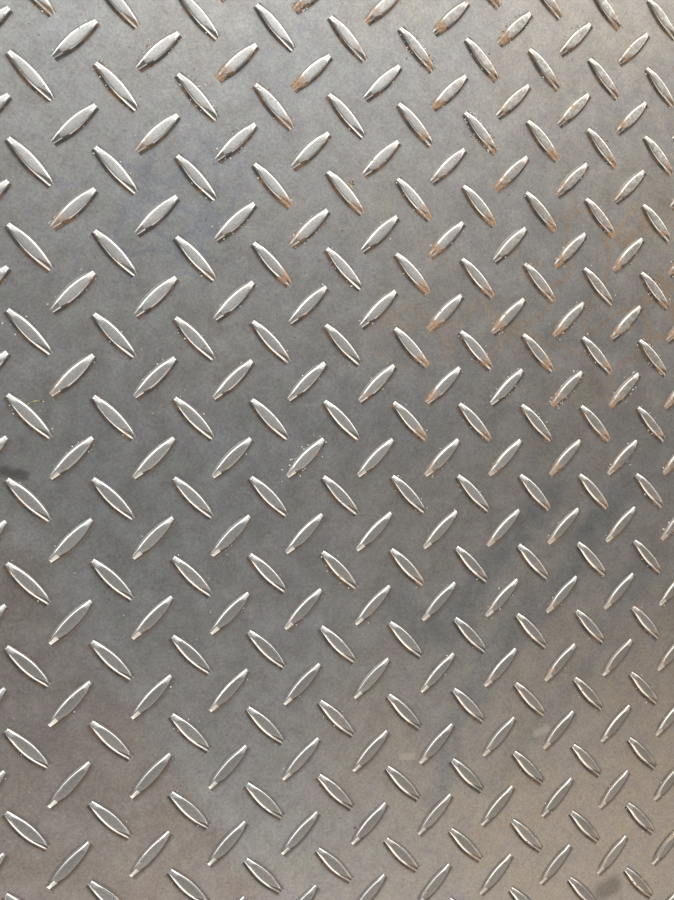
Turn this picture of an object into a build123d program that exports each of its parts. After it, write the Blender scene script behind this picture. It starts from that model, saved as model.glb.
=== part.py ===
from build123d import *
from math import cos, floor, radians, sin
import os

# Checker plate: steel floor plate, hot rolled with raised lugs on one side and sheared to a stock
# size. It lies flat with its smooth side on Z = 0 and its lugs up, and the origin is under its
# middle. X and Y run along the sheared edges. All sizes are in millimetres and degrees.

# The sheared piece
plate_length = 500.0
plate_width = 500.0
base_thickness = 5.0

# The rolled pattern: two equal square grids of lugs that lean opposite ways
lug_pitch = 35.0
lug_lean = 45.0

# One lug: a slim boat shape with blunt ends, which slopes in from its foot to its flat crown
lug_height = 1.5
foot_length = 24.2
foot_width = 5.8
foot_middle_length = 7.0
foot_end_width = 2.4
crown_length = 17.0
flank_slope = 35.0

# Each long side of a lug bulges, in three flats: one along the middle and one towards each end.
# The outline is drawn out to a point at both ends, and the ramps cut the points off.
crown_level = base_thickness + lug_height
middle, side = foot_middle_length / 2, foot_width / 2
foot_tip, foot_end, crown_tip = foot_length / 2, foot_end_width / 2, crown_length / 2
point = foot_tip + foot_end * (foot_tip - middle) / (side - foot_end)

with BuildPart() as lug:
    with BuildSketch(Plane.XY.offset(base_thickness)):
        Polygon(
            (-point, 0), (-middle, -side), (middle, -side), (point, 0), (middle, side), (-middle, side),
            align=None,
        )
    extrude(amount=lug_height, taper=flank_slope)
    # Seen from the side, both ends of the lug are straight ramps up to the crown.
    with BuildSketch(Plane.XZ.offset(-side)):
        Polygon(
            (-foot_tip, base_thickness), (foot_tip, base_thickness),
            (crown_tip, crown_level), (-crown_tip, crown_level),
            align=None,
        )
    extrude(amount=foot_width, mode=Mode.INTERSECT)

# How far a turned lug reaches from its own middle along X and along Y
lean = radians(lug_lean)
reach_x = (foot_length * cos(lean) + foot_width * sin(lean)) / 2
reach_y = (foot_length * sin(lean) + foot_width * cos(lean)) / 2


def odd_count(side, reach):
    """Lugs in a row that touch a side of this length, with one lug on the middle of the plate."""
    return 2 * floor((side / 2 + reach) / lug_pitch) + 1


def even_count(side, reach):
    """The same for a row that stands half a pitch off the middle."""
    return 2 * floor((side / 2 + reach) / lug_pitch + 0.5)


with BuildPart() as checker_plate:
    with BuildSketch():
        Rectangle(plate_length, plate_width)
    extrude(amount=base_thickness)
    # Lugs that lean to the right, one of them on the middle of the plate
    with GridLocations(
        lug_pitch, lug_pitch, odd_count(plate_length, reach_x), odd_count(plate_width, reach_y)
    ):
        add(lug.part, rotation=(0, 0, lug_lean))
    # Lugs that lean to the left, each in the middle of four of the others
    with GridLocations(
        lug_pitch, lug_pitch, even_count(plate_length, reach_x), even_count(plate_width, reach_y)
    ):
        add(lug.part, rotation=(0, 0, -lug_lean))
    # The shear cuts the lugs on the border flush with the edge.
    with BuildSketch():
        Rectangle(plate_length, plate_width)
    extrude(amount=crown_level, mode=Mode.INTERSECT)

checker_plate.part.label = "checker_plate"
os.makedirs("parts", exist_ok=True)
export_step(checker_plate.part, "parts/checker_plate.step")
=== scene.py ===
import math
import random

import bpy
import bmesh
from mathutils import Matrix, Vector
from mathutils.geometry import delaunay_2d_cdt


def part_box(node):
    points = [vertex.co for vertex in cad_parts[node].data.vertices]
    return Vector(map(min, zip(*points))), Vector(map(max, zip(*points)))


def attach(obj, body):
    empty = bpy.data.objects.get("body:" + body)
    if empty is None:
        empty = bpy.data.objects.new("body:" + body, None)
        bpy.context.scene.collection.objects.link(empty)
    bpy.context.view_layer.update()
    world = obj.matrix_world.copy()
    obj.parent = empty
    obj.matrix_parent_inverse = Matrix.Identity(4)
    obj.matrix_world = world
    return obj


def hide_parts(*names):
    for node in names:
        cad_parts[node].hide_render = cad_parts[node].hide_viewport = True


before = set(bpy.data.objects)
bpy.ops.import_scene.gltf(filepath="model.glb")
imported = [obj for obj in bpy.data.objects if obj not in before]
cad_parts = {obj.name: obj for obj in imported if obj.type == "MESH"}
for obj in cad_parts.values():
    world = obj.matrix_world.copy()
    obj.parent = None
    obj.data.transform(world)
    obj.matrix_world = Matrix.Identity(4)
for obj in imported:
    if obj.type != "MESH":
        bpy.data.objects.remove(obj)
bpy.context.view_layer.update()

# Sizes are in millimetres until MM turns them into metres.
MM = 0.001
NODE = "checker_plate"
_, HIGH = (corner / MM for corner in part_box(NODE))
HALF_X, HALF_Y = HIGH.x, HIGH.y

# The rolled pattern
PITCH = 35.0
LUG_HEIGHT = 1.5
BASE_TOP = HIGH.z - LUG_HEIGHT
CELL = PITCH / math.sqrt(2)

# One lug: its worn shoulder is SHOULDER_SIDE from the lug's axis in the middle and SHOULDER_END at
# the tips. SHOULDER_REACH and SHOULDER_CURVE say how it runs from one to the other.
TIP, SHOULDER_SIDE, SHOULDER_END = 12.1, 2.2, 0.7
SHOULDER_REACH, SHOULDER_CURVE = TIP + 0.5, 1.4
# A flank rises at an angle of FLANK. It is rounded over SHOULDER each way, about an edge that lies
# SHOULDER_OUT outside the worn shoulder, and its toe lies FLARE further out. All three are smaller
# where the lug is lower than FULL_SIZE_UP.
FLANK = math.radians(60)
ROUNDING = (FLANK, math.radians(40), math.radians(20), 0.0)
SHOULDER, SHOULDER_OUT, FLARE = 0.75, 0.16, 0.15
FULL_SIZE_UP = 1.0
FLANK_POINTS = len(ROUNDING) + 1
# Where the two end ramps start, as distances from the lug's middle on its two sides. The lower ramp
# depends on which way the lug's ramps are twisted.
UPPER_RAMP = (7.8, 9.2)
LOWER_RAMP = {-1: (5.0, 10.2), 1: (5.0, 8.8)}
# Half the length of the bend above a ramp, the height at the foot of the ramp, and how far the toe
# of the blunt tip lies beyond it
RAMP_BEND, TIP_HEIGHT, TOE = 0.6, 0.45, 0.3
# How far the rows of points across a lug are from its middle
STATIONS = (0.0, 2.8, 5.2, 6.7, 8.1, 9.3, 10.4, 11.3, 11.9)
# How much the lugs differ: in width, in sideways bow, and in the start of their ramps
SLIMMEST, WIDEST, BOW = 0.96, 1.04, 0.12
NEAR_SHIFT, FAR_SHIFT = 0.4, 0.2

# The sheared edge, from the rolled-over top to the underside: how far out, and how far down from
# the rolled surface or up from the floor
ROLLOVER = 0.4
ROLLED_RINGS = ((0.26, 0.09), (0.4, 0.4))
SHEARED_RINGS = ((0.4, 3.3), (0.36, 3.1), (0.22, 0.35), (0.05, 0.0))

# Edges that turn by more than SHARP stay sharp. The plate's sides are numbers of materials.
SHARP = math.radians(42)
PATTERNED, SHEARED, SMOOTH = 0, 1, 2

# Loose grains: how many lie at a lug on the lower left and on the upper right, how many lie anywhere,
# and the clear strip along the edges. Their kinds are numbers of materials.
FEWEST_AT_LUG, MOST_AT_LUG, ANYWHERE = 1.2, 13.0, 260
CLEAR_STRIP = 1.5
SAND, DRY_PLANT, RUST_CRUMBS = 0, 1, 2

# Large stains: middle, reach along x and y, and what the colour of the steel is multiplied by
STAINS = (
    ((-105, 108), 80, 58, (0.88, 0.91, 0.97)),  # bluish, upper left
    ((-85, 50), 75, 34, (0.94, 0.92, 0.90)),  # dull, below it
    ((-178, 85), 34, 80, (1.10, 1.09, 1.13)),  # lilac, left
    ((-60, -30), 120, 70, (1.02, 1.04, 1.03)),  # pale, left of the middle
    ((135, 85), 90, 74, (1.09, 0.93, 0.80)),  # brown, right
    ((40, 60), 85, 38, (1.07, 0.99, 0.92)),  # reddish, above the middle
)
# Small marks: start, end, width, colour, and how well it covers
MARKS = (
    ((-166, -4), (-158, -6), 3.2, (0.16, 0.16, 0.15), 0.75),
    ((-123, 156), (-117, 154), 3.2, (0.56, 0.44, 0.38), 0.5),
    ((93, -139), (99, -137), 3.2, (0.66, 0.62, 0.55), 0.5),
    ((18, -143), (24, -143), 2.4, (0.66, 0.62, 0.55), 0.45),
    ((136, -227), (143, -225), 8.0, (0.14, 0.13, 0.12), 0.6),
)
# Bluish streaks that darken the plate, running from right of the middle down towards the bottom: path,
# width and strength
STREAKS = (
    (((100, -14), (79, -36), (57, -65), (36, -89), (14, -71)), 14, 0.9),
    (((142, -14), (121, -43), (95, -72), (69, -91)), 13, 1.0),
    (((153, -57), (129, -95), (71, -162)), 13, 0.52),
    (((69, -91), (53, -120), (32, -168)), 11, 0.66),
)

# The camera stands left of the plate and looks down to the right.
CAMERA_AT = Vector((-196.0, 21.4, 456.8))
CAMERA_RIGHT = Vector((0.9316, 0.0161, 0.3631))
CAMERA_UP = Vector((-0.0017, 0.9992, -0.0400))
LENS = 41.76


def lerp(a, b, share):
    return a + (b - a) * share


def shoulder_at(x):
    """How far a lug's shoulder is from its axis, at x from its middle."""
    bulge = (1 - (x / SHOULDER_REACH) ** 2) ** SHOULDER_CURVE
    return SHOULDER_END + (SHOULDER_SIDE - SHOULDER_END) * bulge


def ramp_height(x, top):
    """Height of a lug at x from its middle, with a soft bend where the ramp starts at top."""
    fall = (LUG_HEIGHT - TIP_HEIGHT) / (TIP - top)
    past = x - (top - RAMP_BEND)
    if past <= 0:
        return LUG_HEIGHT
    if past < 2 * RAMP_BEND:
        return LUG_HEIGHT - fall * past ** 2 / (4 * RAMP_BEND)
    return LUG_HEIGHT - fall * (x - top)


def flank_section(shoulder, height):
    """One flank of a lug from its toe to the edge of its crown, as (across, up)."""
    size = min(1.0, height / FULL_SIZE_UP)
    shoulder += SHOULDER_OUT * size
    tangent = SHOULDER * size
    radius = tangent / math.tan(FLANK / 2)
    points = [(shoulder + height / math.tan(FLANK) + FLARE * size, 0.0)]
    for angle in ROUNDING:
        points.append((
            shoulder - tangent + radius * math.sin(angle),
            height - radius * (1 - math.cos(angle)),
        ))
    return points


def lug_grid(rng, twist):
    """Rows of points across a lug, from end to end, each lug a little different."""
    slim, bow = rng.uniform(SLIMMEST, WIDEST), rng.uniform(-BOW, BOW)
    tops = {}
    for end, (near, far) in ((-twist, LOWER_RAMP[twist]), (twist, UPPER_RAMP)):
        near += rng.uniform(-NEAR_SHIFT, NEAR_SHIFT)
        tops[end] = (near, far + rng.uniform(-FAR_SHIFT, FAR_SHIFT))
    rows = []
    for x in [-x for x in reversed(STATIONS[1:])] + list(STATIONS):
        end = 1 if x > 0 else -1
        near, far = tops[end]
        shoulder = shoulder_at(x) * slim
        shift = bow * (1 - (x / TIP) ** 2)
        heights = [ramp_height(abs(x), top) for top in (near, far)]
        right, left = heights if twist * end < 0 else reversed(heights)
        row = [
            Vector((x, shift - across, BASE_TOP + up))
            for across, up in flank_section(shoulder, right)
        ]
        middle = ramp_height(abs(x), lerp(near, far, 0.7))
        row.append(Vector((x, shift, BASE_TOP + middle)))
        row += [
            Vector((x, shift + across, BASE_TOP + up))
            for across, up in reversed(flank_section(shoulder, left))
        ]
        rows.append(row)
    return [toe_row(-TIP - TOE, slim)] + rows + [toe_row(TIP + TOE, slim)]


def toe_row(x, slim):
    """The blunt tip of a lug, where it meets the base."""
    right, left = (Vector((x, way * SHOULDER_END * slim, BASE_TOP)) for way in (-1, 1))
    return [right] * (FLANK_POINTS + 1) + [left] * FLANK_POINTS


def lug_places():
    """Place of every lug that touches the plate, and which way its ramps are twisted."""
    reach = (TIP + SHOULDER_SIDE + 1) / math.sqrt(2)
    rows = math.ceil((max(HALF_X, HALF_Y) + reach) / PITCH)
    for shift, turn in ((0.0, 45.0), (0.5, -45.0)):
        for row in range(-rows, rows + 1):
            for column in range(-rows, rows + 1):
                x, y = (column + shift) * PITCH, (row + shift) * PITCH
                if abs(x) < HALF_X + reach and abs(y) < HALF_Y + reach:
                    spin = Matrix.Rotation(math.radians(turn), 4, "Z")
                    yield Matrix.Translation((x, y, 0)) @ spin, 1 if turn > 0 else -1


def add_lug(place, rows, verts, faces):
    """Adds one lug and gives back its foot, a loop of vertices counter-clockwise."""
    known, grid = {}, []
    for row in rows:
        line = []
        for point in row:
            key = tuple(round(c, 4) for c in point)
            if key not in known:
                known[key] = len(verts)
                verts.append(place @ point)
            line.append(known[key])
        grid.append(line)
    for near, far in zip(grid, grid[1:]):
        for k in range(len(near) - 1):
            corners = (near[k], far[k], far[k + 1], near[k + 1])
            face = [c for n, c in enumerate(corners) if c != corners[n - 1]]
            if len(set(face)) > 2:
                faces.append(face)
    return [line[0] for line in grid] + [line[-1] for line in reversed(grid)]


def rolled_side():
    """Vertices and faces of the lugs and of the flat base between them, past the plate's edges."""
    rng = random.Random(4)
    verts, faces = [], []
    feet = [add_lug(place, lug_grid(rng, twist), verts, faces) for place, twist in lug_places()]
    # The base is cut into triangles between the lugs' feet and a border outside the plate.
    border = len(verts)
    for x, y in ((-1, -1), (1, -1), (1, 1), (-1, 1)):
        verts.append(Vector((x * (HALF_X + PITCH), y * (HALF_Y + PITCH), BASE_TOP)))
    flat = [k for foot in feet for k in foot] + list(range(border, border + 4))
    spot = {k: n for n, k in enumerate(flat)}
    outline = [(spot[border + k], spot[border + (k + 1) % 4]) for k in range(4)]
    holes = [[spot[k] for k in foot] for foot in feet]
    points = [verts[k].to_2d() for k in flat]
    # 0 asks for triangles everywhere, and inside lists the holes that each of them lies in.
    _, _, triangles, origin, _, inside = delaunay_2d_cdt(points, outline, holes, 0, 1e-5)
    for corners, hole in zip(triangles, inside):
        if not hole:
            faces.append([flat[origin[k][0]] for k in corners])
    return verts, faces


def cut_to_size(bm):
    """Trims the rolled side to the plate, less the part that the shear rolls over."""
    for normal, reach in (((1, 0, 0), HALF_X), ((0, 1, 0), HALF_Y)):
        for way in (1, -1):
            plane = Vector(normal) * way
            bmesh.ops.bisect_plane(
                bm, geom=bm.verts[:] + bm.edges[:] + bm.faces[:], dist=1e-4,
                plane_co=plane * (reach - ROLLOVER), plane_no=plane, clear_outer=True,
            )


def push_out(bm, rim, out, height):
    """Adds one ring of faces outside the rim. height turns an old level into the new one."""
    made = bmesh.ops.extrude_edge_only(bm, edges=rim)["geom"]
    for v in (g for g in made if isinstance(g, bmesh.types.BMVert)):
        for axis, reach in ((0, HALF_X), (1, HALF_Y)):
            if abs(v.co[axis]) > reach - ROLLOVER - 0.01:
                v.co[axis] = math.copysign(reach - ROLLOVER + out, v.co[axis])
        v.co.z = height(v.co.z)
    return [g for g in made if isinstance(g, bmesh.types.BMEdge)]


def shear_sides(bm):
    """Closes the plate with its sheared edges and its smooth underside."""
    rim = [e for e in bm.edges if e.is_boundary]
    depth = 0.0
    for out, down in ROLLED_RINGS:
        step, depth = down - depth, down
        rim = push_out(bm, rim, out, lambda z, step=step: z - step)
    for out, level in SHEARED_RINGS:
        rim = push_out(bm, rim, out, lambda z, level=level: level)
    bmesh.ops.contextual_create(bm, geom=rim)


def plate_piece():
    verts, faces = rolled_side()
    mesh = bpy.data.meshes.new("rolled_plate")
    mesh.from_pydata(verts, [], faces)
    bm = bmesh.new()
    bm.from_mesh(mesh)
    cut_to_size(bm)
    top_faces = set(bm.faces)
    shear_sides(bm)
    bmesh.ops.recalc_face_normals(bm, faces=bm.faces[:])
    for face in bm.faces:
        face.smooth = True
        if face not in top_faces:
            face.material_index = SMOOTH if face.normal.z < -0.9 else SHEARED
    bmesh.ops.scale(bm, vec=(MM, MM, MM), verts=bm.verts[:])
    bm.to_mesh(mesh)
    bm.free()
    mesh.set_sharp_from_angle(angle=SHARP)
    # The flat base is shaded flat, right up to the toes of the lugs.
    level = BASE_TOP * MM
    normals = [(0, 0, 0)] * len(mesh.loops)
    for polygon in mesh.polygons:
        if polygon.material_index == PATTERNED:
            for k in polygon.loop_indices:
                if abs(mesh.vertices[mesh.loops[k].vertex_index].co.z - level) < 1e-7:
                    normals[k] = (0, 0, 1)
    mesh.normals_split_custom_set(normals)
    return add_piece("rolled_plate", mesh)


def add_piece(name, mesh):
    piece = bpy.data.objects.new(name, mesh)
    bpy.context.collection.objects.link(piece)
    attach(piece, "root")
    return piece


def blob():
    """Corners and faces of a rough ball, the start of every grain."""
    bm = bmesh.new()
    bmesh.ops.create_icosphere(bm, subdivisions=1, radius=1.0)
    corners = [v.co.copy() for v in bm.verts]
    faces = [[v.index for v in face.verts] for face in bm.faces]
    bm.free()
    return corners, faces


def crumb(rng, at, size, kind):
    """Middle, half sizes, turn and kind of a loose grain."""
    half_sizes = (size, size * rng.uniform(0.6, 1), size * rng.uniform(0.5, 0.8))
    return at, half_sizes, rng.uniform(0, 7), kind


def loose_grains(rng):
    """Every loose grain: against the lugs, most of them on the upper right, and scattered."""
    for place, _ in lug_places():
        spot = place.translation
        # From 0 on the lower left to 1 on the upper right
        share = min(1.0, max(0.0, (0.5 * spot.x + 0.9 * spot.y + 170) / 380))
        mean = lerp(FEWEST_AT_LUG, MOST_AT_LUG, share ** 1.5)
        for _ in range(int(rng.expovariate(1 / mean))):
            along = rng.uniform(-1, 1)
            out = shoulder_at(along * TIP) + 1.0 + rng.expovariate(1.6)
            at = place @ Vector((along * TIP, rng.choice((-1, 1)) * out, 0))
            size = rng.triangular(0.2, 0.6, 0.32)
            yield crumb(rng, at, size, RUST_CRUMBS if rng.random() < 0.35 * share else SAND)
    for _ in range(ANYWHERE):
        at = Vector((rng.uniform(-HALF_X, HALF_X), HALF_Y * (1 - 2 * rng.random() ** 1.4), 0))
        yield crumb(rng, at, rng.triangular(0.1, 0.3, 0.13), SAND)
    # A crumb of moss against one lug and a broken twig against another
    for _ in range(16):
        at = Vector((-14.9 + rng.gauss(0, 1.1), 126.0 + rng.gauss(0, 0.9), 0))
        size = rng.uniform(0.3, 0.8)
        yield at, (size, size * 0.7, size * 0.6), rng.uniform(0, 7), DRY_PLANT
    for x, y, length, turn in (
        (-157.2, 22.9, 1.6, 0.5), (-154.6, 23.9, 1.5, 0.2), (-152.2, 23.8, 1.1, -0.4),
    ):
        yield Vector((x, y, 0)), (length, 0.32, 0.28), turn, DRY_PLANT


def grit_piece():
    """Sand, dust and crumbs that lie on the base, against the lugs."""
    rng = random.Random(11)
    corners, sides = blob()
    verts, faces, kinds = [], [], []
    for at, size, turn, kind in loose_grains(rng):
        if abs(at.x) > HALF_X - CLEAR_STRIP or abs(at.y) > HALF_Y - CLEAR_STRIP:
            continue
        start = len(verts)
        spin = Matrix.Rotation(turn, 3, "Z")
        for corner in corners:
            rough = corner * rng.uniform(0.8, 1.12)
            point = spin @ Vector([a * b for a, b in zip(rough, size)])
            verts.append((point + Vector((at.x, at.y, BASE_TOP + 0.7 * size[2]))) * MM)
        faces += [[start + k for k in side] for side in sides]
        kinds += [kind] * len(sides)
    mesh = bpy.data.meshes.new("grit")
    mesh.from_pydata(verts, [], faces)
    mesh.polygons.foreach_set("material_index", kinds)
    return add_piece("grit", mesh)


class Nodes:
    """Adds nodes to one new material and joins them up."""

    # The sockets of a Mix node for each type of data: its two values and its result
    MIX_SOCKETS = {"FLOAT": (2, 3, 0), "VECTOR": (4, 5, 1), "RGBA": (6, 7, 2)}

    def __init__(self, name):
        self.material = bpy.data.materials.new(name)
        self.material.use_nodes = True
        self.tree = self.material.node_tree
        self.shader = self.tree.nodes["Principled BSDF"]
        spot = self.tree.nodes.new("ShaderNodeTexCoord").outputs["Object"]
        self.place = self.vector("SCALE", spot, scale=1 / MM)
        self.x, self.y, self.z = self.split(self.place)

    def feed(self, socket, value):
        if isinstance(value, bpy.types.NodeSocket):
            self.tree.links.new(value, socket)
        elif isinstance(value, tuple) and len(value) == 3 and socket.type == "RGBA":
            socket.default_value = (*value, 1.0)
        else:
            socket.default_value = value

    def add(self, kind, **settings):
        node = self.tree.nodes.new("ShaderNode" + kind)
        for key, value in settings.items():
            setattr(node, key, value)
        return node

    def math(self, operation, *values, clamp=False):
        node = self.add("Math", operation=operation, use_clamp=clamp)
        for socket, value in zip(node.inputs, values):
            self.feed(socket, value)
        return node.outputs[0]

    def vector(self, operation, *values, scale=None):
        node = self.add("VectorMath", operation=operation)
        for socket, value in zip(node.inputs, values):
            self.feed(socket, value)
        if scale is not None:
            self.feed(node.inputs["Scale"], scale)
        return node.outputs["Value" if operation in ("DOT_PRODUCT", "LENGTH", "DISTANCE") else "Vector"]

    def split(self, vector):
        node = self.add("SeparateXYZ")
        self.feed(node.inputs[0], vector)
        return node.outputs

    def join(self, x, y, z=0.0):
        node = self.add("CombineXYZ")
        for socket, value in zip(node.inputs, (x, y, z)):
            self.feed(socket, value)
        return node.outputs[0]

    def fade(self, value, low, high, start=0.0, end=1.0):
        """Runs softly from start to end as value runs from low to high."""
        node = self.add("MapRange", interpolation_type="SMOOTHSTEP")
        for socket, item in zip(node.inputs, (value, low, high, start, end)):
            self.feed(socket, item)
        return node.outputs[0]

    def noise(self, size, detail=2.0, rough=0.5, twist=0.0, where=None, shift=0.0):
        """Soft noise from 0 to 1, with blobs about size millimetres across."""
        node = self.add("TexNoise")
        at = self.place if where is None else where
        if shift:
            at = self.vector("ADD", at, (shift, -shift, 0.7 * shift))
        self.feed(node.inputs["Vector"], at)
        self.feed(node.inputs["Scale"], 1.0 / size)
        self.feed(node.inputs["Detail"], detail)
        self.feed(node.inputs["Roughness"], rough)
        self.feed(node.inputs["Distortion"], twist)
        return node.outputs[0]

    def cells(self, size, where=None):
        """Distance to the nearest of many scattered points, and a random colour for each."""
        node = self.add("TexVoronoi")
        self.feed(node.inputs["Vector"], self.place if where is None else where)
        self.feed(node.inputs["Scale"], 1.0 / size)
        return self.math("MULTIPLY", node.outputs["Distance"], size), node.outputs["Color"]

    def drift(self, size):
        """Three soft noises as a vector, to bend a shape with."""
        node = self.add("TexNoise")
        self.feed(node.inputs["Vector"], self.place)
        self.feed(node.inputs["Scale"], 1.0 / size)
        self.feed(node.inputs["Detail"], 1.0)
        return node.outputs["Color"]

    def random(self, vector):
        node = self.add("TexWhiteNoise")
        self.feed(node.inputs["Vector"], vector)
        return self.split(node.outputs["Color"])

    def mix(self, data_type, share, first, second, **settings):
        node = self.add("Mix", data_type=data_type, **settings)
        first_socket, second_socket, result = self.MIX_SOCKETS[data_type]
        for k, value in ((0, share), (first_socket, first), (second_socket, second)):
            self.feed(node.inputs[k], value)
        return node.outputs[result]

    def blend(self, share, first, second, kind="MIX"):
        """Mixes two colours."""
        return self.mix("RGBA", share, first, second, blend_type=kind)

    def between(self, share, first, second):
        """Mixes two numbers."""
        return self.mix("FLOAT", share, first, second)

    def chain(self, operation, *values):
        result = values[0]
        for value in values[1:]:
            result = self.math(operation, result, value)
        return result

    def times(self, *values):
        return self.chain("MULTIPLY", *values)

    def plus(self, *values):
        return self.chain("ADD", *values)

    def highest(self, *values):
        return self.chain("MAXIMUM", *values)

    def minus(self, first, second):
        return self.math("SUBTRACT", first, second)

    def rest(self, share):
        return self.minus(1.0, share)

    def bend(self, size, reach):
        """The place on the plate, moved about by up to half of reach millimetres."""
        off = self.vector("SUBTRACT", self.drift(size), (0.5, 0.5, 0.5))
        return self.vector("ADD", self.join(self.x, self.y), self.vector("SCALE", off, scale=reach))

    def tint(self, color, value):
        """Makes a colour lighter or darker."""
        return self.blend(1.0, color, self.join(value, value, value), "MULTIPLY")

    def stain(self, share, color, paint):
        """Multiplies a colour by paint where share is 1."""
        return self.blend(share, color, self.blend(1.0, color, paint, "MULTIPLY"))

    def away(self, where, path):
        """Distance from a path of straight strokes on the plate."""
        gaps = []
        for (ax, ay), (bx, by) in zip(path, path[1:]):
            dx, dy = bx - ax, by - ay
            past = self.vector("SUBTRACT", where, (ax, ay, 0.0))
            along = self.vector("DOT_PRODUCT", past, (dx, dy, 0.0))
            along = self.math("MULTIPLY", along, 1 / (dx * dx + dy * dy), clamp=True)
            gaps.append(self.vector("DISTANCE", past, self.vector("SCALE", (dx, dy, 0.0), scale=along)))
        return self.chain("MINIMUM", *gaps)

    def stroke(self, where, path, width):
        """1 along a path, and softly 0 beside it."""
        return self.fade(self.away(where, path), width, 0.25 * width)

    def bump(self, height, depth):
        """Turns a height of 0 to 1 into relief of that many millimetres."""
        node = self.add("Bump")
        self.feed(node.inputs["Strength"], 1.0)
        self.feed(node.inputs["Distance"], depth * MM)
        self.feed(node.inputs["Height"], height)
        return node.outputs[0]


def nearest_lug(n):
    """The place on the nearest lug, whether it leans left, and three random numbers of its own."""
    u = n.times(n.plus(n.x, n.y), math.sqrt(0.5))
    v = n.times(n.minus(n.y, n.x), math.sqrt(0.5))
    column = n.math("ROUND", n.math("DIVIDE", u, CELL))
    row = n.math("ROUND", n.math("DIVIDE", v, CELL))
    du = n.minus(u, n.times(column, CELL))
    dv = n.minus(v, n.times(row, CELL))
    parity = n.math("FLOORED_MODULO", n.plus(column, row, 0.5), 2.0)
    leans_left = n.math("GREATER_THAN", parity, 1.0)
    # along runs to the lug's upper end, and across to its upper side.
    along, across, _ = n.split(n.mix("VECTOR", leans_left, n.join(du, dv), n.join(dv, du)))
    return along, across, leans_left, n.random(n.join(column, row))


def mill_scale(n, grain, speckle, mottle, blotch, cloud):
    """Colour of the base, a little bluer or browner in places, and the rusty film on it."""
    scale = n.blend(n.fade(cloud, 0.35, 0.65), (0.395, 0.398, 0.402), (0.418, 0.412, 0.402))
    scale = n.tint(scale, n.times(
        n.fade(blotch, 0.2, 0.8, 0.94, 1.06), n.fade(grain, 0.2, 0.8, 0.80, 1.20),
        n.fade(mottle, 0.25, 0.75, 0.93, 1.07),
    ))
    # Red, green and blue drift apart a little.
    hue = n.vector("SCALE", n.join(speckle, mottle, blotch), scale=0.16)
    hue = n.vector("ADD", hue, (0.92, 0.92, 0.92))
    scale = n.blend(1.0, scale, hue, "MULTIPLY")

    # Stains, and at the lower left a brown one behind a pale band
    ragged = n.bend(26.0, 24.0)
    near_mark = n.vector("ADD", n.join(n.x, n.y), n.vector("SCALE", n.join(speckle, mottle), scale=3.0))
    rx, ry, _ = n.split(ragged)
    for middle, reach_x, reach_y, paint in STAINS:
        area = n.vector("DIVIDE", n.vector("SUBTRACT", ragged, (*middle, 0.0)), (reach_x, reach_y, 1.0))
        share = n.fade(n.vector("LENGTH", area), 1.0, 0.35)
        scale = n.stain(share, scale, paint)
    behind = n.plus(n.times(rx, -0.83), n.times(ry, -0.56))
    scale = n.stain(n.fade(behind, 147.0, 165.0), scale, (1.0, 0.92, 0.88))
    from_band = n.math("ABSOLUTE", n.minus(behind, 147.0))
    band = n.times(n.fade(from_band, 8.0, 1.0), n.fade(n.y, 0.0, -20.0))
    scale = n.tint(scale, n.fade(band, 0.0, 1.0, 1.0, 1.07))

    # Rusty film on the right. A straight line runs along the plate, where the film is cut off.
    above = n.fade(n.plus(n.y, n.times(mottle, 4.0)), 26.0, 29.0)
    rightward = n.plus(n.x, n.times(n.minus(cloud, 0.5), 160.0))
    film = n.times(n.fade(rightward, -120.0, 190.0), 0.85)
    film = n.times(film, n.fade(speckle, 0.2, 0.8, 0.6, 1.25), n.fade(mottle, 0.3, 0.7, 0.75, 1.2))
    film = n.times(film, n.fade(n.y, -120.0, -70.0, 1.0, 0.65))
    paint = n.blend(above, (0.98, 0.86, 0.75), (1.14, 0.98, 0.82))
    scale = n.stain(film, scale, paint)

    for start, end, width, paint, cover in MARKS:
        scale = n.blend(n.times(n.stroke(near_mark, (start, end), width), cover), scale, paint)

    streaks = n.highest(
        *(n.times(n.stroke(ragged, path, width), strength) for path, width, strength in STREAKS)
    )
    feather = n.noise(9.0, 3.0, 0.6, where=n.vector("MULTIPLY", ragged, (1.0, 0.45, 1.0)), shift=7.0)
    streaks = n.times(streaks, n.fade(n.y, 2.0, -30.0, 0.35, 1.0), n.fade(feather, 0.3, 0.6, 0.45, 1.0))
    scale = n.stain(streaks, scale, (0.72, 0.79, 0.84))
    return scale, film


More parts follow.
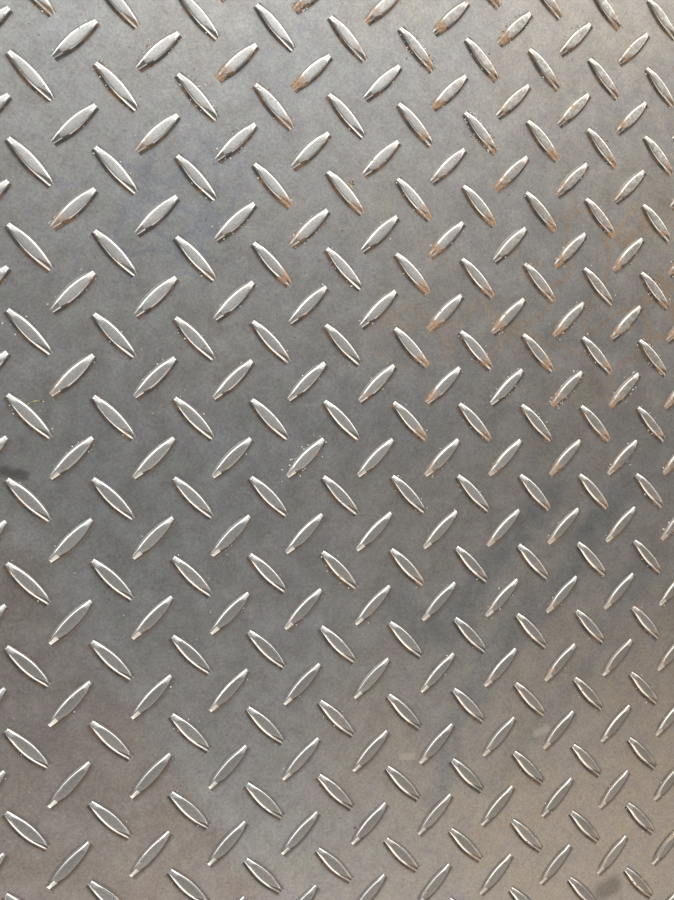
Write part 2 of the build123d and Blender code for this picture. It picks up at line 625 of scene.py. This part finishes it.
def rolled_steel():
    """The patterned side: grey mill scale, worn bright on the lugs, with rust, dirt and dust, with
    painted shade at the lugs' feet and lower sides, and painted light on the crowns and end faces.
    """
    n = Nodes("rolled_steel")
    along, across, leans_left, (chance, chance2, chance3) = nearest_lug(n)
    far = n.math("ABSOLUTE", along)
    share = n.math("DIVIDE", along, SHOULDER_REACH)
    bulge = n.math("POWER", n.math("SUBTRACT", 1.0, n.times(share, share), clamp=True), SHOULDER_CURVE)
    shoulder = n.plus(n.times(bulge, SHOULDER_SIDE - SHOULDER_END), SHOULDER_END)
    past = n.minus(n.math("ABSOLUTE", across), shoulder)
    up = n.math("DIVIDE", n.minus(n.z, BASE_TOP), LUG_HEIGHT)

    grain = n.noise(0.9, 3.0, 0.65)
    speckle = n.noise(2.2, 2.0, 0.6, shift=31.0)
    mottle = n.noise(5.5, 3.0, 0.6, shift=83.0)
    blotch = n.noise(14.0, 3.0, 0.55, shift=57.0)
    cloud = n.noise(75.0, 3.0, 0.5, shift=11.0)

    # The worn shoulder, the face inside it, and the flank with the foot outside it
    lower_end = n.fade(along, -2.5, -8.0)
    leans_right = n.rest(leans_left)
    up_side = n.fade(across, -0.4, 0.4)
    inside = n.times(n.fade(past, -0.3, -0.5), n.fade(far, 12.5, 12.1))
    worn = n.times(n.fade(past, -0.6, -0.38), n.fade(past, 0.45, 0.28), n.fade(far, 12.6, 12.2))
    slope = n.times(inside, n.fade(up, 0.985, 0.94))
    cap = n.times(slope, n.fade(along, 6.0, 7.0))
    # At its lower end the crown draws back from the lower side, and scale stays in the hollow there.
    # Lugs that lean left keep a worn prong outside it, lugs that lean right a worn end face.
    end_face = n.times(
        n.fade(along, -8.0, -8.5), n.fade(past, 0.1, -0.1), n.fade(far, 12.5, 12.1), leans_right,
    )
    edge = n.plus(n.times(far, n.between(leans_left, 0.30, 0.345)), n.between(leans_left, -3.2, -2.83))
    hollow = n.times(n.fade(n.minus(edge, across), -0.15, 0.15), n.fade(along, -4.2, -5.2))
    hollow = n.times(hollow, n.fade(n.minus(past, leans_right), -0.3, -0.5))
    hollow = n.times(hollow, n.fade(far, 12.8, 12.3), n.rest(end_face))
    worn = n.times(worn, n.rest(hollow))
    # Low on the plate the lower side of the lugs that lean right is rusty, and painted shade holds back
    # its worn bright band there.
    rusty_and_shaded_side = n.times(
        leans_right, n.fade(across, 0.3, -0.3), n.fade(n.y, 60.0, -60.0), n.fade(end_face, 0.5, 0.0),
    )
    worn = n.times(worn, n.fade(rusty_and_shaded_side, 0.0, 1.0, 1.0, 0.1))
    # Dirt packed into the foot under a painted contact shadow, and around the lug a wider painted soft
    # shadow with some grime, most of both on the lower side
    dirt_and_shade_weight = n.between(up_side, 1.0, n.between(leans_left, 0.3, 0.65))
    reach = n.between(up_side, 1.9, 1.25)
    foot = n.times(
        n.fade(past, 0.32, 0.5), n.fade(past, reach, n.minus(reach, 0.6)),
        n.fade(far, 13.0, 12.3), dirt_and_shade_weight,
    )
    grime_and_shadow = n.times(n.fade(past, n.between(up_side, 3.6, 2.2), 0.9), n.fade(far, 14.0, 12.0), dirt_and_shade_weight)

    scale, film = mill_scale(n, grain, speckle, mottle, blotch, cloud)
    rough = n.fade(blotch, 0.2, 0.8, 0.35, 0.40)

    # Crown: a lighter, finely pitted face. Painted light makes it lighter towards the top of the plate
    # (larger y) and darker towards the bottom.
    pits = n.noise(0.55, 3.0, 0.7, shift=90.0)
    face = n.tint((0.44, 0.436, 0.425), n.times(
        n.fade(pits, 0.25, 0.75, 0.78, 1.2), n.fade(chance, 0.0, 1.0, 0.9, 1.08),
        n.fade(n.y, -160.0, 220.0, 0.83, 1.4),
    ))
    face = n.stain(n.times(film, 0.6), face, (1.0, 0.9, 0.78))
    bright = n.tint((0.88, 0.87, 0.84), n.fade(speckle, 0.2, 0.8, 0.88, 1.06))
    bright = n.stain(n.times(film, 0.7), bright, (1.0, 0.92, 0.80))

    # Dirt on the crowns, most of it at the upper right
    soiled = n.fade(n.plus(n.x, n.times(n.y, 0.5)), 40.0, 190.0)
    soiled = n.times(soiled, n.fade(speckle, 0.38, 0.58), 0.65)
    face = n.blend(soiled, face, (0.34, 0.29, 0.24))
    bright = n.blend(n.times(soiled, 0.8), bright, (0.50, 0.44, 0.38))

    # The lug, put together
    # Painted shadow: the base darkens softly around each lug, farthest out on its lower side, a soft
    # shadow with some grime in it.
    scale = n.tint(scale, n.fade(grime_and_shadow, 0.0, 1.0, 1.0, 0.72))
    color = n.blend(inside, scale, face)
    rough = n.between(inside, rough, 0.5)
    color = n.blend(cap, color, n.tint(bright, 0.64))
    rough = n.between(cap, rough, 0.42)
    color = n.blend(n.times(hollow, 0.9), color, (0.115, 0.108, 0.098))
    rough = n.between(hollow, rough, 0.6)
    # Painted shade: the worn end face is darker towards the top of the plate (larger y) and at full
    # brightness towards the bottom.
    color = n.blend(end_face, color, n.tint(bright, n.fade(n.y, 90.0, -110.0, 0.34, 1.0)))
    rough = n.between(end_face, rough, 0.36)
    shine = n.times(worn, n.fade(speckle, 0.2, 0.42, 0.6, 1.0))
    color = n.blend(shine, color, bright)
    rough = n.between(shine, rough, 0.24)

    # Pale dust and dark specks
    near_dust, dust_kind = n.cells(6.5)
    dust = n.times(n.fade(near_dust, 0.34, 0.16), n.fade(n.split(dust_kind)[0], 0.62, 0.7))
    color = n.blend(n.times(dust, 0.7), color, (0.74, 0.71, 0.64))
    near_speck, speck_kind = n.cells(5.0, n.vector("ADD", n.place, (40.0, 0.0, 9.0)))
    chosen = n.fade(n.split(speck_kind)[1], n.fade(n.x, -200.0, 60.0, 0.55, 0.85), 1.0)
    specks = n.times(n.fade(near_speck, 0.55, 0.2), n.fade(chosen, 0.0, 0.1))
    color = n.blend(n.times(specks, 0.75), color, (0.09, 0.08, 0.07))
    loose = n.highest(dust, specks)
    rough = n.between(loose, rough, 0.85)

    # Dirt at the foot, black or rusty brown, which also paints the contact shadow there
    patch = n.noise(4.2, 4.0, 0.62, shift=44.0)
    foot = n.times(foot, n.fade(mottle, 0.2, 0.5, 0.6, 1.0))
    foot_dirt_and_shadow_color = n.blend(
        n.highest(n.fade(patch, 0.42, 0.6), n.times(rusty_and_shaded_side, 0.7)),
        (0.062, 0.057, 0.052), (0.19, 0.11, 0.06),
    )
    color = n.blend(n.times(foot, n.fade(rusty_and_shaded_side, 0.0, 1.0, 0.92, 0.6)), color, foot_dirt_and_shadow_color)
    rough = n.between(foot, rough, 0.75)

    # Rust at the lower ends of the lugs and here and there on their sides, most of it on the right
    region = n.fade(n.plus(n.x, n.times(n.y, 0.25)), -90.0, 130.0, 0.32, 1.15)
    rusty = n.fade(chance2, n.minus(1.05, region), n.minus(1.45, region))
    rust = n.times(
        rusty, n.fade(patch, 0.38, 0.56), lower_end, n.fade(past, 1.4, 0.6),
        n.fade(n.y, -70.0, 60.0, 0.35, 1.0),
    )
    stray = n.times(
        n.fade(patch, 0.60, 0.68), n.fade(past, 2.4, 0.6), region, n.fade(chance3, 0.45, 0.8),
    )
    rust = n.highest(rust, stray)
    orange = n.blend(n.fade(grain, 0.3, 0.7), (0.36, 0.20, 0.11), (0.70, 0.47, 0.30))
    color = n.blend(n.times(rust, 0.85), color, orange)
    rough = n.between(rust, rough, 0.8)

    n.feed(n.shader.inputs["Base Color"], color)
    n.feed(n.shader.inputs["Roughness"], rough)
    dull = n.highest(n.times(rust, 0.9), n.times(foot, 0.8), n.times(loose, 0.9), n.times(hollow, 0.6))
    n.feed(n.shader.inputs["Metallic"], n.rest(dull))
    n.feed(n.shader.inputs["Normal"], n.bump(grain, 0.018))
    return n.material


def sheared_edge():
    """Two bands: smooth and bright where the blade cut, torn and dull where the steel broke."""
    n = Nodes("sheared_edge")
    tears = n.noise(1.0, 3.0, 0.6, where=n.vector("MULTIPLY", n.place, (2.2, 2.2, 0.35)))
    wander = n.noise(9.0, 2.0, 0.5, shift=3.0)
    torn = n.fade(n.plus(n.z, n.times(n.minus(wander, 0.5), 1.6)), 3.5, 3.1)
    color = n.blend(torn, (0.58, 0.57, 0.55), (0.34, 0.33, 0.32))
    color = n.tint(color, n.fade(tears, 0.2, 0.8, 0.75, 1.15))
    rust = n.times(n.fade(n.noise(6.0, 4.0, 0.65, shift=71.0), 0.54, 0.66), 0.7)
    n.feed(n.shader.inputs["Base Color"], n.blend(rust, color, (0.30, 0.14, 0.06)))
    rough = n.highest(n.fade(torn, 0.0, 1.0, 0.3, 0.55), n.times(rust, 1.1))
    n.feed(n.shader.inputs["Roughness"], rough)
    n.feed(n.shader.inputs["Metallic"], n.rest(rust))
    n.feed(n.shader.inputs["Normal"], n.bump(tears, 0.12))
    return n.material


def underside():
    """The smooth side: even mill scale with a few scuffs and a little rust."""
    n = Nodes("underside")
    cloud = n.noise(60.0, 4.0, 0.55, 0.5)
    grain = n.noise(1.2, 3.0, 0.6)
    scuff = n.noise(5.0, 2.0, 0.5, where=n.vector("MULTIPLY", n.place, (0.12, 1.6, 1.0)))
    color = n.blend(n.fade(cloud, 0.3, 0.7), (0.30, 0.30, 0.31), (0.38, 0.37, 0.36))
    color = n.tint(color, n.fade(grain, 0.2, 0.8, 0.88, 1.12))
    color = n.blend(n.times(n.fade(scuff, 0.6, 0.72), 0.5), color, (0.52, 0.51, 0.5))
    rust = n.times(n.fade(n.noise(16.0, 5.0, 0.65, shift=23.0), 0.58, 0.7), 0.75)
    n.feed(n.shader.inputs["Base Color"], n.blend(rust, color, (0.32, 0.16, 0.08)))
    rough = n.highest(n.fade(grain, 0.2, 0.8, 0.36, 0.46), n.times(rust, 1.1))
    n.feed(n.shader.inputs["Roughness"], rough)
    n.feed(n.shader.inputs["Metallic"], n.rest(rust))
    n.feed(n.shader.inputs["Normal"], n.bump(n.plus(grain, cloud), 0.03))
    return n.material


def loose_dirt(name, pale, dark, roughness=0.9, metallic=0.0):
    n = Nodes(name)
    cell = n.vector("SNAP", n.place, (1.3, 1.3, 50.0))
    color = n.blend(n.fade(n.random(cell)[0], 0.6, 0.95), pale, dark)
    color = n.tint(color, n.fade(n.noise(0.3), 0.2, 0.8, 0.8, 1.1))
    n.feed(n.shader.inputs["Base Color"], color)
    n.feed(n.shader.inputs["Roughness"], roughness)
    n.feed(n.shader.inputs["Metallic"], metallic)
    return n.material


def add_camera():
    back = CAMERA_RIGHT.cross(CAMERA_UP).normalized()
    up = back.cross(CAMERA_RIGHT).normalized()
    right = up.cross(back)
    data = bpy.data.cameras.new("camera")
    data.lens = LENS
    data.clip_start = 0.01
    camera = bpy.data.objects.new("camera", data)
    turn = Matrix((right, up, back)).transposed().to_4x4()
    camera.matrix_world = Matrix.Translation(CAMERA_AT * MM) @ turn
    bpy.context.collection.objects.link(camera)
    bpy.context.scene.camera = camera


def add_softbox(name, at, size, radiance, color):
    """A large flat lamp, turned to the plate. radiance is its brightness as the steel mirrors it."""
    data = bpy.data.lights.new(name, "AREA")
    data.shape = "RECTANGLE"
    data.size, data.size_y = size
    data.color = color
    data.energy = radiance * math.pi * size[0] * size[1]
    lamp = bpy.data.objects.new(name, data)
    lamp.location = at
    lamp.rotation_euler = (-Vector(at)).to_track_quat("-Z", "Y").to_euler()
    bpy.context.collection.objects.link(lamp)


def add_world():
    """Even grey light, a little darker towards the horizon."""
    world = bpy.data.worlds.new("studio")
    world.use_nodes = True
    tree = world.node_tree
    spot = tree.nodes.new("ShaderNodeTexCoord").outputs["Generated"]
    split = tree.nodes.new("ShaderNodeSeparateXYZ")
    tree.links.new(spot, split.inputs[0])
    level = tree.nodes.new("ShaderNodeMapRange")
    level.interpolation_type = "SMOOTHSTEP"
    tree.links.new(split.outputs[2], level.inputs[0])
    # Two heights from 0 to 1, and the brightness at each
    for socket, value in zip(list(level.inputs)[1:5], (0.35, 1.0, 0.2, 0.29)):
        socket.default_value = value
    tree.links.new(level.outputs[0], tree.nodes["Background"].inputs["Strength"])
    tree.nodes["Background"].inputs["Color"].default_value = (1.0, 1.0, 1.0, 1)
    bpy.context.scene.world = world


def add_floor():
    n = Nodes("studio_floor")
    n.feed(n.shader.inputs["Base Color"], (0.8, 0.79, 0.77))
    n.feed(n.shader.inputs["Roughness"], 0.7)
    mesh = bpy.data.meshes.new("floor")
    mesh.from_pydata([(-4, -4, 0), (4, -4, 0), (4, 4, 0), (-4, 4, 0)], [], [(0, 1, 2, 3)])
    mesh.materials.append(n.material)
    floor = bpy.data.objects.new("floor", mesh)
    bpy.context.collection.objects.link(floor)


plate = plate_piece()
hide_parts(NODE)
plate.data.materials.append(rolled_steel())
plate.data.materials.append(sheared_edge())
plate.data.materials.append(underside())
grit = grit_piece()
grit.data.materials.append(loose_dirt("sand", (0.95, 0.92, 0.85), (0.16, 0.12, 0.08), 0.35, 0.5))
grit.data.materials.append(loose_dirt("dry_plant", (0.72, 0.62, 0.36), (0.16, 0.13, 0.06)))
grit.data.materials.append(loose_dirt("rust_crumbs", (0.55, 0.30, 0.14), (0.18, 0.09, 0.05)))
add_camera()
add_floor()
add_softbox("far_softbox", (-0.2, 2.05, 1.58), (5.8, 2.6), 1.55, (1.0, 0.985, 0.95))
add_softbox("top_softbox", (0.7, 1.05, 2.1), (1.5, 1.2), 0.42, (1.0, 0.985, 0.95))
add_softbox("right_softbox", (2.1, 1.7, 0.85), (2.0, 1.5), 1.9, (1.0, 0.98, 0.95))
add_softbox("east_softbox", (2.08, 0.29, 1.03), (0.7, 0.6), 1.4, (1.0, 0.97, 0.92))
add_softbox("left_softbox", (-2.6, 0.95, 0.9), (1.3, 1.3), 0.75, (1.0, 0.98, 0.95))
add_softbox("near_softbox", (0.45, -1.78, 1.87), (4.4, 1.4), 1.0, (1.0, 0.88, 0.75))
add_softbox("low_softbox", (-1.11, -2.18, 0.89), (2.6, 1.2), 1.55, (1.0, 0.95, 0.88))
add_world()
bpy.context.scene.view_settings.view_transform = "Standard"
